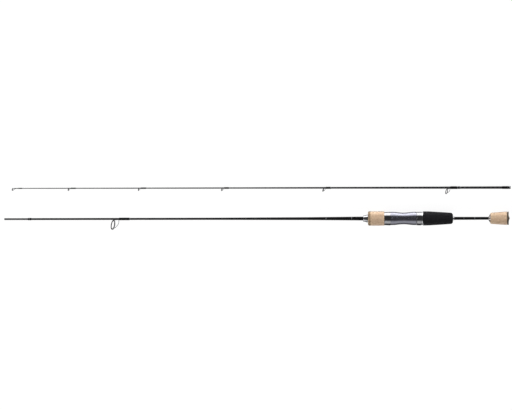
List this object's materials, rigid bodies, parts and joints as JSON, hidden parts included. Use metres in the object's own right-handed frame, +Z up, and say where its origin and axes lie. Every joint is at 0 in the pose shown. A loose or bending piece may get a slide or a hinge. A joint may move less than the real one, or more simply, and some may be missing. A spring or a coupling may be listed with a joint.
{
  "type": "two-piece spinning fishing rod",
  "caption": "Light spinning fishing rod taken apart into tip and butt sections, with line guides, ferrule, reel seat with hoods and a split cork and foam handle.",
  "frame": {"origin": "middle of the footprint on the surface that both sections lie on", "axes": "+X runs along the rod from the tips to the butt end, +Z is up, the line guides and the reel foot bed face -Y"},
  "size_m": [0.9452, 0.1534, 0.0268],
  "materials": {
    "blank": "clear-coated carbon with a spiral tape pattern",
    "spigot_blank": "clear-coated carbon, ground matt at the spigot",
    "shaft": "gloss black carbon tube",
    "wrap": "black thread under epoxy",
    "silver_thread": "metallic silver thread under epoxy",
    "guide_frame": "polished stainless steel",
    "tip_frame": "dark plated stainless steel",
    "guide_ring": "polished dark ceramic",
    "check": "polished anodised aluminium",
    "end_check": "polished anodised aluminium, warm silver",
    "cork": "sanded natural cork",
    "dark_cork": "dark rubberised cork",
    "end_cap": "dark grey-brown rubberised cork",
    "seat": "blue-grey gunmetal under clear coat",
    "hood": "polished gunmetal-plated stainless steel",
    "liner": "moulded nylon",
    "slip_ring": "turned and polished",
    "nut": "moulded nylon",
    "foam": "fine closed-cell foam, ground smooth",
    "bush": "rigid foam bush"
  },
  "bodies": {
    "butt_section": {"butt_blank": "spigot_blank", "ferrule_wrap": "wrap", "ferrule_trim": "silver_thread", "butt_guide_frame": "guide_frame", "butt_guide_ring": "guide_ring", "butt_guide_wrap": "wrap", "butt_guide_trims": "silver_thread", "blank_trim_bands": "silver_thread", "front_check": "check", "fore_grip_trim_ring": "dark_cork", "fore_grip_cork_front": "cork", "fore_grip_cork_rear": "cork", "reel_seat_body": "seat", "front_hood": "hood", "front_hood_liner": "liner", "seat_bush_front": "bush", "seat_bush_rear": "bush", "rear_shaft": "shaft", "shaft_trim_bands": "silver_thread", "end_check": "end_check", "end_grip_cork_front": "cork", "end_grip_cork_rear": "cork", "end_cap": "end_cap"},
    "tip_section": {"tip_blank": "blank", "tip_top_frame": "tip_frame", "tip_top_ring": "guide_ring", "tip_top_wrap": "wrap", "guide_1_frame": "guide_frame", "guide_2_frame": "guide_frame", "guide_3_frame": "guide_frame", "guide_4_frame": "guide_frame", "guide_5_frame": "guide_frame", "guide_1_ring": "guide_ring", "guide_2_ring": "guide_ring", "guide_3_ring": "guide_ring", "guide_4_ring": "guide_ring", "guide_5_ring": "guide_ring", "guide_1_wrap": "wrap", "guide_2_wrap": "wrap", "guide_3_wrap": "wrap", "guide_4_wrap": "wrap", "guide_5_wrap": "wrap", "tip_trim_bands": "silver_thread", "guide_5_band": "wrap", "socket_wrap": "wrap", "socket_trim": "silver_thread", "socket_band": "wrap"},
    "hood_slider": {"moving_hood": "hood", "moving_hood_liner": "liner", "slip_ring": "slip_ring"},
    "rear_nut": {"lock_nut": "nut", "rear_grip_foam": "foam", "rear_check": "check"}
  },
  "joints": [
    {"name": "ferrule_slide", "type": "slide", "parent": "butt_section", "child": "tip_section", "axis": [1, 0, 0], "range_m": [-0.9, 0]},
    {"name": "hood_travel", "type": "slide", "parent": "butt_section", "child": "hood_slider", "axis": [1, 0, 0], "range_m": [0, 0.01401]},
    {"name": "nut_turn", "type": "hinge", "parent": "hood_slider", "child": "rear_nut", "pos_m": [0.3254, -0.04105, 0.0134], "axis": [1, 0, 0], "range_deg": [0, 2520]}
  ],
  "couplings": [
    {"joint": "hood_travel", "follows": "nut_turn", "m_per_rad": 0.00031831}
  ]
}
